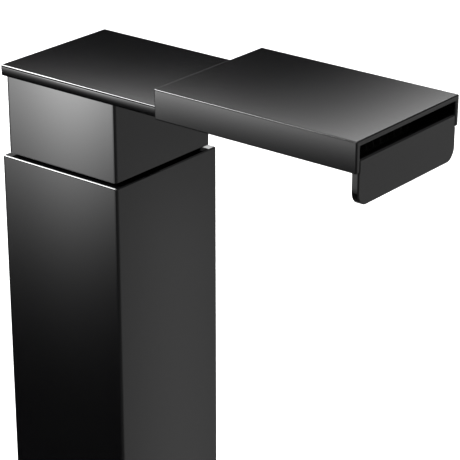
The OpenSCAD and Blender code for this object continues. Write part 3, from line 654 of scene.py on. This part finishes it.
def makeHood():
    look = {"edge": 0.4 * mm, "footEdge": 0.45 * mm, "innerEdge": 0.4 * mm, "rimEdge": 0.45 * mm,
            "wall": 1.8 * mm, "boss": 2.8 * mm, "bossBore": 1.5 * mm, "lean": 0.16 * mm,
            "bossSunk": 0.6 * mm, "bossEdge": 0.2 * mm, "leastEdge": 0.06 * mm,
            "firstRow": 2 * mm, "leanRows": (0.15, 0.85, 6)}
    sealLow, sealHigh = nodeBox("hood_seal")
    half, top, foot = hoodHigh[0], hoodHigh[2], hoodLow[2]
    innerHalf, ceiling = half - look["wall"], top - look["wall"]
    wallFoot = sealHigh[2]
    rear, front = hoodHigh[1], hoodLow[1]

    def outline(inset, ceilingHeight):
        a, b, c = half - inset, innerHalf + inset, ceilingHeight + inset
        t, f = top - inset, foot + inset
        edge = max(look["edge"] - inset, look["leastEdge"])
        footEdge = max(look["footEdge"] - inset, look["leastEdge"])
        lean = look["lean"]
        down = np.linspace(*look["leanRows"])  # the bent side leans in by the square of the way down
        left = [(-a + lean * share ** 2, t + (f - t) * share, 0) for share in down]
        right = [(-x, z, 0) for x, z, _ in left]
        return roundedProfile([(-a + lean, f, footEdge)] + left[::-1] + [(-a, t, edge), (a, t, edge)]
                              + right + [(a - lean, f, footEdge), (b, f, footEdge),
                                         (b, c, look["innerEdge"]), (-b, c, look["innerEdge"]),
                                         (-b, f, footEdge)])

    sines, cosines = quarter(5)
    rim = look["rimEdge"]
    rows = []
    for s, c in zip(sines[::-1], cosines[::-1]):
        rows.append((front + rim * (1 - s), rim * (1 - c), ceiling))
    rows.append((front + rim + nearly, 0.0, ceiling))
    for y in np.linspace(front + look["firstRow"], rear - look["wall"], 14):
        rows.append((y, 0.0, ceiling))
    rows.append((rear - look["wall"], 0.0, wallFoot))
    rows.append((rear - rim - nearly, 0.0, wallFoot))
    for s, c in zip(sines, cosines):
        rows.append((rear - rim * (1 - s), rim * (1 - c), wallFoot))
    rings = []
    for y, inset, height in rows:
        ring = outline(inset, height)
        rings.append(np.column_stack([ring[:, 0], np.full(len(ring), y), ring[:, 1]]))
    shells = [shellFromGrid(np.stack(rings))]
    screwLow, screwHigh = nodeBox("hood_screws")
    bossTop = ceiling + look["bossSunk"]
    for x in (screwLow[0] + screwHead, screwHigh[0] - screwHead):
        for y in (screwLow[1] + screwHead, screwHigh[1] - screwHead):
            boss = turned([(look["bossBore"], sealLow[2], 0), (look["boss"], sealLow[2], look["bossEdge"]),
                           (look["boss"], bossTop, 0), (look["bossBore"], bossTop, 0)], 40)
            shells.append(placed(boss, (x, y, 0)))
    hood = meshObject("spoutHood", joinShells(shells))
    return standFor(hood, "spout_hood", "spout")


def makeBonnet():
    look = {"rimEdge": 0.7 * mm, "holeEdge": 0.5 * mm, "hole": 11.25 * mm, "spigot": 14.95 * mm,
            "boreEdge": 0.2 * mm, "spigotEdge": 0.3 * mm, "backEdge": 0.25 * mm}
    low, high = nodeBox("bonnet")
    face = columnHigh[0]
    out, hole = high[1], look["hole"]
    ring = turned([(hole, low[0], look["boreEdge"]), (look["spigot"], low[0], look["spigotEdge"]),
                   (look["spigot"], face, 0), (out, face, look["backEdge"]),
                   (out, high[0], look["rimEdge"]), (hole, high[0], look["holeEdge"])], 120)
    bonnet = meshObject("bonnet", placed(ring, (0, 0, leverPivot[2]), (1, 0, 0)))
    return standFor(bonnet, "bonnet", "column")


def makeDome():
    look = {"wall": 1.7 * mm, "post": 6 * mm, "neck": 0.8 * mm, "soft": 0.3 * mm}
    low, high = nodeBox("lever_dome")
    radius = high[1]
    mouth = math.acos((low[0] - leverPivot[0]) / radius)
    join = math.asin(look["post"] / radius)
    inner = radius - look["wall"]
    innerMouth = math.acos((low[0] - leverPivot[0]) / inner)
    angle = np.linspace(0.0, innerMouth, 30)  # the sphere: radius times sine and cosine of the angle
    inside = np.column_stack([inner * np.sin(angle), inner * np.cos(angle)])
    angle = np.linspace(mouth, join + 0.05, 36)
    outside = np.column_stack([radius * np.sin(angle), radius * np.cos(angle)])
    end = high[0] - leverPivot[0]
    post, soft = look["post"], look["soft"]
    postTop = np.array([(post, radius * math.cos(join) + look["neck"]), (post, end - soft),
                        (post - soft, end), (0.0, end)])
    profile = np.vstack([inside, outside, postTop])
    dome = meshObject("leverDome", placed(shellFromGrid(lathe(profile, 96), capEnds=False),
                                          leverPivot, (1, 0, 0)))
    return standFor(dome, "lever_dome", "lever")


def makeHandle():
    look = {"corner": 1.6 * mm, "innerEdge": 0.6 * mm, "outerEdge": 1.0 * mm, "crown": 0.25 * mm,
            "leastCorner": 0.1 * mm, "capPlay": 0.05 * mm}
    low, high = nodeBox("lever_handle")
    capLow, capHigh = nodeBox("index_cap")
    centre = (low + high) / 2
    halfUp, halfWide = (high[2] - low[2]) / 2, (high[1] - low[1]) / 2
    sines, cosines = quarter(6)
    rows = []

    def add(inset, x):
        corner = max(look["corner"] - inset, look["leastCorner"])
        ring = squareRing(halfWide - inset, halfUp - inset, corner)
        rows.append(np.column_stack([np.full(len(ring), x), ring[:, 0] + centre[1], ring[:, 1] + centre[2]]))

    for s, c in zip(sines[::-1], cosines[::-1]):
        add(look["innerEdge"] * (1 - s), low[0] + look["innerEdge"] * (1 - c))
    rows = rows[::-1]
    shoulder = high[0] - look["crown"]
    for s, c in zip(sines, cosines):
        add(look["outerEdge"] * (1 - c), shoulder - look["outerEdge"] * (1 - s))
    for share in np.linspace(0.05, 0.98, 9):  # the face rises as one minus the square of the way in
        inset = look["outerEdge"] + (halfWide - look["outerEdge"]) * share
        add(inset, high[0] - look["crown"] * (1 - share) ** 2)
    handle = meshObject("leverHandle", shellFromGrid(np.stack(rows)))
    capRadius = (capHigh[1] - capLow[1]) / 2
    well = placed(rod(capRadius + look["capPlay"], capLow[0], high[0] + mm, 72),
                  (0, 0, leverPivot[2]), (1, 0, 0))
    cut(handle, [well])
    return standFor(handle, "lever_handle", "lever")


def makeCap():
    look = {"dish": 0.82, "sink": 0.18 * mm, "footEdge": 0.1 * mm, "rimEdge": 0.22 * mm}
    low, high = nodeBox("index_cap")
    radius, thick = high[1], high[0] - low[0]
    dish = np.linspace(1, 0, 8)  # the dished face sinks by the square of the way in from its rim
    rim = roundedProfile([(0, 0, 0), (radius, 0, look["footEdge"]), (radius, thick, look["rimEdge"]),
                          (radius * look["dish"], thick, 0)], closed=False)
    face = np.column_stack([radius * look["dish"] * dish,
                            thick - look["sink"] * (1 - dish ** 2)])
    profile = np.vstack([rim, face[1:]])
    cap = meshObject("indexCap", placed(shellFromGrid(lathe(profile, 64), capEnds=False),
                                        (low[0], 0, leverPivot[2]), (1, 0, 0)))
    return standFor(cap, "index_cap", "lever")


def makeShank():
    look = {"pitch": 1.5 * mm, "depth": 0.7 * mm, "wall": 2.5 * mm, "lead": 1.2 * mm, "turnRows": 8,
            "around": 96, "flange": 3 * mm, "outer": 16.5 * mm, "steep": 2.4, "crest": 0.2,
            "leadDrop": 0.5 * mm, "soft": 0.3 * mm, "plainDrop": 0.02 * mm}
    low, high = nodeBox("threaded_shank")
    baseLow = nodeBox("base_plate")[0]
    flangeRadius, flangeLow = high[0], high[2] - look["flange"]
    outer, soft = look["outer"], look["soft"]
    inner = outer - look["wall"]
    angle = np.arange(look["around"]) / look["around"] * tau
    heights = np.arange(low[2], baseLow[2], look["pitch"] / look["turnRows"])[:, None]
    # a helical thread: the radius falls from the crest by a triangle wave of height less angle
    wave = (heights / look["pitch"] - angle / tau) % 1
    groove = np.clip(np.abs(wave - 0.5) * look["steep"] - look["crest"], 0, 1)
    ends = np.minimum(np.clip((heights - low[2]) / look["lead"], 0, 1), 1)
    threaded = outer - look["depth"] * groove * ends - look["leadDrop"] * (1 - ends)
    plain = [(outer - look["plainDrop"], baseLow[2]), (outer, flangeLow), (flangeRadius, flangeLow),
             (flangeRadius, high[2] - soft), (flangeRadius - soft, high[2]),
             (inner + soft, high[2]), (inner, high[2] - soft), (inner, low[2] + soft),
             (inner + soft, low[2])]
    radius = np.vstack([threaded] + [np.full((1, look["around"]), r) for r, z in plain])
    height = np.vstack([np.repeat(heights, look["around"], axis=1)]
                       + [np.full((1, look["around"]), z) for r, z in plain])
    grid = np.stack([radius * np.cos(angle), radius * np.sin(angle), height], axis=-1)
    shank = meshObject("threadedShank", shellFromGrid(grid, closeRows=True), sharpDeg=50)
    return standFor(shank, "threaded_shank", "column")


def makeBackNut():
    look = {"around": 180, "bore": 16.6 * mm, "chamfer": 0.6 * mm, "slope": 1.7, "crown": 0.4 * mm}
    low, high = nodeBox("back_nut")
    flat = (high[1] - low[1]) / 2
    crown = flat + look["crown"]
    angle = np.arange(look["around"]) / look["around"] * tau
    hexagon = hexRadius(angle + math.pi / 2, flat)
    thick = high[2] - low[2]
    rows = []
    for share in np.concatenate([np.linspace(0, 0.3, 8), np.linspace(0.7, 1, 8)]):
        z = share * thick
        nearEnd = min(z, thick - z)  # the corners are turned off by a cone at each end
        rows.append((np.minimum(hexagon, crown + look["slope"] * nearEnd), low[2] + z))
    bore = np.full(look["around"], look["bore"])
    rows += [(bore + look["chamfer"], high[2]), (bore, high[2] - look["chamfer"]),
             (bore, low[2] + look["chamfer"]), (bore + look["chamfer"], low[2])]
    grid = np.stack([np.column_stack([r * np.cos(angle), r * np.sin(angle), np.full(len(angle), z)])
                     for r, z in rows])
    nut = meshObject("backNut", shellFromGrid(grid, closeRows=True), sharpDeg=24)
    return standFor(nut, "back_nut", "column")


def makeWasher(node, name, edge, bulge=0.0):
    look = {"bore": 16.55 * mm, "boreEdge": 0.1 * mm}
    low, high = nodeBox(node)
    out, bore = high[0], look["bore"]
    thick = high[2] - low[2]
    if bulge:
        # a squeezed rim: full in the middle, in by the square of the way to each face
        share = np.linspace(-1, 1, 13)
        rim = np.column_stack([out - bulge * share ** 2, low[2] + thick * (share + 1) / 2])
        profile = np.vstack([[(bore, low[2])], rim, [(bore, high[2])]])
        shell = shellFromGrid(lathe(profile, 96), closeRows=True)
    else:
        shell = turned([(bore, low[2], look["boreEdge"]), (out, low[2], edge), (out, high[2], edge),
                        (bore, high[2], look["boreEdge"])], 96)
    return standFor(meshObject(name, shell), node, "column")


def screwShell(radius, length, headRadius, headHeight, around=36, pitch=0.5 * mm):
    # head below z = 0 with a hexagonal socket, thread above it as a helical sine
    look = {"socket": 0.5, "socketDepth": 0.6, "socketFloor": 0.98, "soft": 0.2 * mm,
            "softStep": 0.3, "thread": 0.18 * mm, "rowsPerTurn": 5,
            "from": 0.3 * mm, "until": 0.4 * mm, "root": 0.2 * mm, "tip": 0.5 * mm, "tipRise": 0.3 * mm}
    angle = np.arange(around) / around * tau
    full = np.ones(around)
    socket = hexRadius(angle, headRadius * look["socket"])
    depth = headHeight * look["socketDepth"]
    soft = look["soft"]
    step = soft * look["softStep"]
    rows = [(socket * look["socketFloor"], -headHeight + depth), (socket, -headHeight + depth),
            (socket, -headHeight), (full * (headRadius - soft), -headHeight),
            (full * (headRadius - step), -headHeight + step),
            (full * headRadius, -headHeight + soft), (full * headRadius, 0.0), (full * radius, 0.0)]
    for z in np.arange(look["from"], length - look["until"], pitch / look["rowsPerTurn"]):
        wave = 0.5 + 0.5 * np.cos(z / pitch * tau - angle)
        rows.append((radius - look["thread"] * wave, z))
    rows += [(full * (radius - look["root"]), length - look["tipRise"]),
             (full * (radius - look["tip"]), length)]
    return shellFromGrid(np.stack([np.column_stack([r * np.cos(angle), r * np.sin(angle),
                                                    np.full(around, z)]) for r, z in rows]))


def makeScrews():
    look = {"radius": 1.5 * mm, "headHeight": 1.6 * mm, "postRing": 14 * mm, "postTurns": [30, 150, 270]}
    radius, head, headHeight = look["radius"], screwHead, look["headHeight"]

    def group(node, name, body, spots, length, axis=(0, 0, 1)):
        shell = screwShell(radius, length, head, headHeight)
        shells = [placed(shell, spot, axis) for spot in spots]
        standFor(meshObject(name, joinShells(shells), 40), node, body)

    def corners(node):
        low, high = nodeBox(node)
        spots = [(x, y, low[2] + headHeight) for x in (low[0] + head, high[0] - head)
                 for y in (low[1] + head, high[1] - head)]
        return spots, high[2] - low[2] - headHeight

    group("base_screws", "baseScrews", "column", *corners("base_screws"))
    group("neck_screws", "neckScrews", "spout", *corners("neck_screws"))
    group("hood_screws", "hoodScrews", "spout", *corners("hood_screws"))
    low, high = nodeBox("back_screws")
    middle = (low[2] + high[2]) / 2
    spots = [(x, high[1] - headHeight, middle) for x in (low[0] + head, high[0] - head)]
    group("back_screws", "backScrews", "column", spots, high[1] - low[1] - headHeight, (0, -1, 0))
    low, high = nodeBox("post_screws")
    turns = np.radians(look["postTurns"])
    ringRadius = look["postRing"]
    spots = [(ringRadius * math.cos(t), ringRadius * math.sin(t), low[2] + headHeight) for t in turns]
    group("post_screws", "postScrews", "column", spots, high[2] - low[2] - headHeight)


makeColumn()
makeNeck()
print("column and neck: done")
makePlate()
makeHood()
print("spout: done")
makeBonnet()
makeDome()
makeHandle()
makeCap()
print("lever: done")
makeShank()
makeBackNut()
makeWasher("deck_washer", "deckWasher", edge=0.4 * mm, bulge=0.5 * mm)
makeWasher("clamp_washer", "clampWasher", edge=0.25 * mm)
makeScrews()
print("foot and fixings: done")


def makeFloor():
    look = {"radius": 9.0, "gap": 0.5 * mm, "paper": (0.66, 0.66, 0.66), "shade": (0.65, 0.65, 0.65)}
    rim = lathe([(look["radius"], cadLow[2] - look["gap"])], 64)[0]
    mesh = bpy.data.meshes.new("floor")
    mesh.from_pydata(rim.tolist(), [], [list(range(len(rim)))])
    floor = bpy.data.objects.new("floor", mesh)
    floor.visible_glossy = False  # the lacquer mirrors the painted studio instead
    bpy.context.scene.collection.objects.link(floor)
    paint = newPaint("floorPaint")
    cloud = paint.noise(paint.place(), 3, 2)
    mesh.materials.append(paint.finish(Base_Color=paint.blend(cloud, look["shade"], look["paper"]),
                                       Roughness=0.9, Specular_IOR_Level=0.0))


def softbox(name, centre, aim, width, height, radiance):
    # an area light whose brightness is given as radiance: power = radiance * area * pi
    light = bpy.data.lights.new(name, "AREA")
    light.shape = "RECTANGLE"
    light.size, light.size_y = width, height
    light.energy = radiance * width * height * math.pi
    lamp = bpy.data.objects.new(name, light)
    lamp.location = centre
    lamp.rotation_euler = (Vector(aim) - Vector(centre)).to_track_quat("-Z", "Y").to_euler()
    lamp.visible_camera = False
    bpy.context.scene.collection.objects.link(lamp)


def compass(degrees, rise=0.0):
    # the direction at a bearing from +X and an angle above the horizon
    turn, lift = math.radians(degrees), math.radians(rise)
    return (math.cos(lift) * math.cos(turn), math.cos(lift) * math.sin(turn), math.sin(lift))


def makeStudio():
    # the room that the lacquer mirrors: a dim dome with a bright middle, two soft lamps on the ceiling,
    # a pale horizon and soft glows near the floor; a glow is (bearing, width, share), and a part of the
    # room comes in or goes out between two heights
    look = {"domeFrom": (0.38, 0.5), "zenithFrom": (0.82, 0.92), "ceilingFrom": (0.2, 0.26),
            "horizonFrom": (-0.06, 0.0), "horizonTop": (0.1, 0.16), "baseFrom": (-0.4, -0.05),
            "rightCoreTop": (-0.4, -0.33),
            "dome": 0.4, "zenith": 4.8, "horizon": 0.7, "base": 0.4, "baseFoot": 0.6, "baseRise": 0.9,
            "left": 24.5, "leftFrom": 0.25, "leftFall": 150, "leftTop": (-0.312, -0.26),
            "leftCore": (136.75, 0.95, 0.49), "leftHalo": (142, 9, 0.49), "leftClear": (136.4, 28, 1),
            "right": (-37, 15, 0.33), "rightCore": (-40.2, 1.2, 0.3), "back": (45, 20, 0.55),
            "sheet": 6.8, "sheetAt": (2.05, 1.7), "sheetFall": (13.5, 10),
            "lamp": 6.4, "lampAt": (2.37, 1.25), "lampFall": (3, 17)}
    key = {"bearing": 103, "rise": 41, "away": 1.5, "width": 1.6, "height": 0.5, "radiance": 36.0}
    studio = bpy.data.worlds.new("studio")
    bpy.context.scene.world = studio
    paint = Paint(studio)
    way = paint.node("ShaderNodeTexCoord", output="Generated")
    height = paint.node("ShaderNodeSeparateXYZ", {}, {0: way}, output="Z")
    level = paint.node("ShaderNodeVectorMath", {"operation": "MULTIPLY"}, {0: way, 1: (1, 1, 0)})
    level = paint.node("ShaderNodeVectorMath", {"operation": "NORMALIZE"}, {0: level})
    # where a direction meets a ceiling one unit up: (x / z, y / z), with z kept from nothing
    lifted = paint.node("ShaderNodeMath", {"operation": "MAXIMUM"}, {0: height, 1: 0.1})
    inverse = paint.node("ShaderNodeMath", {"operation": "DIVIDE"}, {0: 1.0, 1: lifted})
    ceiling = paint.node("ShaderNodeVectorMath", {"operation": "SCALE"}, {0: way, "Scale": inverse})

    def rise(low, high):
        return paint.node("ShaderNodeMapRange", {"interpolation_type": "SMOOTHSTEP"},
                          {0: height, 1: low, 2: high})

    def fade(power):
        return paint.node("ShaderNodeMath", {"operation": "EXPONENT"}, {0: power})

    def glow(bearing, width, share):
        # a bell about a bearing: e to the power of (cosine - 1) over the square of its width
        cosine = paint.node("ShaderNodeVectorMath", {"operation": "DOT_PRODUCT"},
                            {0: level, 1: compass(bearing)}, output="Value")
        return fade((cosine - 1) * (1 / math.radians(width) ** 2)) * share

    def away(axis, middle):
        # how far the place on the ceiling is from a line across it
        part = paint.node("ShaderNodeSeparateXYZ", {}, {0: ceiling}, output=axis)
        return paint.node("ShaderNodeMath", {"operation": "ABSOLUTE"}, {0: part - middle})

    def bell(axis, middle, fall):
        part = away(axis, middle)
        return fade(part * part * -fall)

    above = rise(*look["ceilingFrom"])
    below = 1 - rise(*look["horizonFrom"])
    drop = paint.node("ShaderNodeMath", {"operation": "MAXIMUM"}, {0: -look["leftFrom"] - height, 1: 0.0})
    left = fade(drop * drop * -look["leftFall"]) * (1 - rise(*look["leftTop"])) * (
        glow(*look["leftCore"]) + glow(*look["leftHalo"]))
    baseGlow = (rise(*look["baseFrom"]) * look["baseRise"] + look["baseFoot"]) * look["base"]
    floorGlow = (glow(*look["right"]) + glow(*look["back"])
                 + glow(*look["rightCore"]) * (1 - rise(*look["rightCoreTop"]))
                 + (1 - glow(*look["leftClear"])) * baseGlow)
    sheet = (fade(away("X", look["sheetAt"][0]) * -look["sheetFall"][0])
             * bell("Y", look["sheetAt"][1], look["sheetFall"][1]))
    lamp = (bell("X", look["lampAt"][0], look["lampFall"][0])
            * bell("Y", look["lampAt"][1], look["lampFall"][1]))
    light = (rise(*look["domeFrom"]) * look["dome"] + rise(*look["zenithFrom"]) * look["zenith"]
             + (rise(*look["horizonFrom"]) - rise(*look["horizonTop"])) * look["horizon"]
             + below * floorGlow + left * look["left"]
             + above * (sheet * look["sheet"] + lamp * look["lamp"]))
    paint.close(paint.node("ShaderNodeBackground", {}, {"Strength": light}), "ShaderNodeOutputWorld")
    middle = Vector((0, 0, neckHigh[2]))
    softbox("keyStrip", middle + Vector(compass(key["bearing"], key["rise"])) * key["away"], middle,
            key["width"], key["height"], key["radiance"])


def makeCamera():
    look = {"lens": 156.8, "sensor": 36.0, "place": (-0.46146, -0.41769, 0.23192),
            "towards": (0.72177, 0.57409, -0.38660)}
    data = bpy.data.cameras.new("camera")
    data.lens, data.sensor_width = look["lens"], look["sensor"]
    data.sensor_fit = "HORIZONTAL"
    data.clip_start = 0.01
    camera = bpy.data.objects.new("camera", data)
    camera.location = Vector(look["place"]) + Vector((0, 0, columnTop))
    camera.rotation_euler = Vector(look["towards"]).to_track_quat("-Z", "Y").to_euler()
    bpy.context.scene.collection.objects.link(camera)
    bpy.context.scene.camera = camera


makeFloor()
makeStudio()
makeCamera()
bpy.context.scene.view_settings.view_transform = "Standard"
print("floor, light and camera: done")

bpy.context.view_layer.update()
